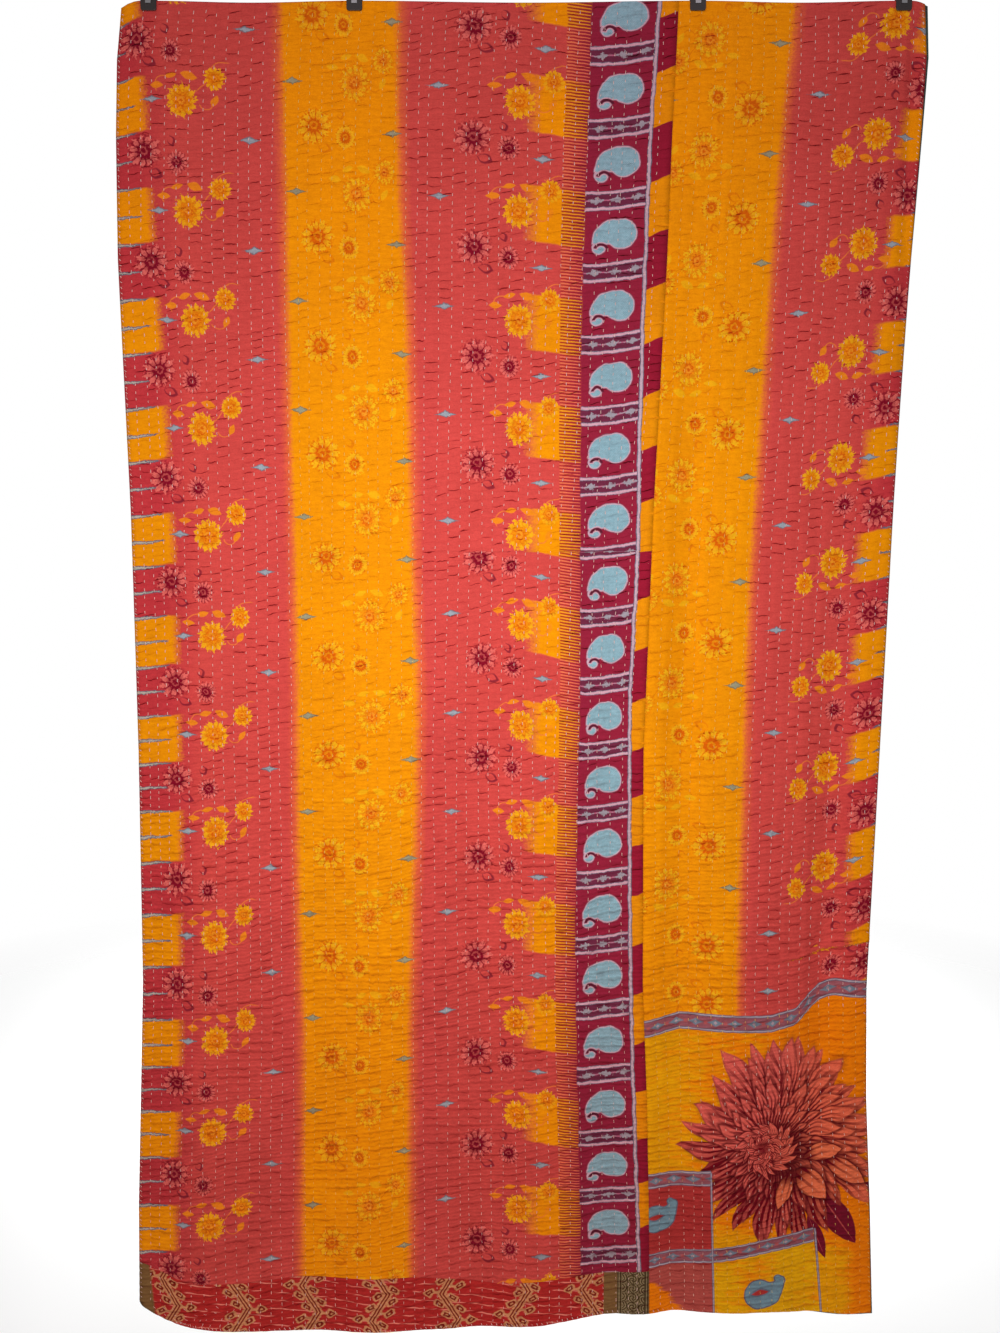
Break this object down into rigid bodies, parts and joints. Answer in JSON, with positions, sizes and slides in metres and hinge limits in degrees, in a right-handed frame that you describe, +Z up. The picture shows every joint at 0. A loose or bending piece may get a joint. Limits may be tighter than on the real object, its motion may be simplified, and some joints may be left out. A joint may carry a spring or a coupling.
{
  "type": "kantha quilt with hanging clips",
  "caption": "Patchwork sari kantha quilt hanging flat and face on, with rows of running stitch, printed panels, a foot strip and dark spring clips on its top edge.",
  "frame": {"origin": "middle of the line along the tops of the clips, above the middle of the quilt's top edge", "axes": "+Z up, +X to the right as the printed face is seen, -Y out of the printed face towards the viewer"},
  "size_m": [1.3153, 0.027, 2.2557],
  "materials": {
    "left_panel_cloth": "printed sari cotton, red and orange bands with a dark paisley border, pale running stitch",
    "right_panel_cloth": "printed sari cotton, orange and red bands with a large flower at the foot, pale running stitch",
    "foot_strip_cloth": "printed sari cotton, deep red with tan vines and an olive end band",
    "backing_cloth": "plain dark grey-green cotton, matt, with pale running stitch",
    "clip_plastic": "moulded charcoal plastic, satin",
    "spring_steel": "bare spring steel"
  },
  "bodies": {
    "root": {"left_panel": "left_panel_cloth", "right_panel": "right_panel_cloth", "foot_strip": "foot_strip_cloth", "backing": "backing_cloth", "clip_1_front_jaw": "clip_plastic", "clip_1_back_jaw": "clip_plastic", "clip_1_spring": "spring_steel", "clip_2_front_jaw": "clip_plastic", "clip_2_back_jaw": "clip_plastic", "clip_2_spring": "spring_steel", "clip_3_front_jaw": "clip_plastic", "clip_3_back_jaw": "clip_plastic", "clip_3_spring": "spring_steel", "clip_4_front_jaw": "clip_plastic", "clip_4_back_jaw": "clip_plastic", "clip_4_spring": "spring_steel"}
  },
  "joints": []
}
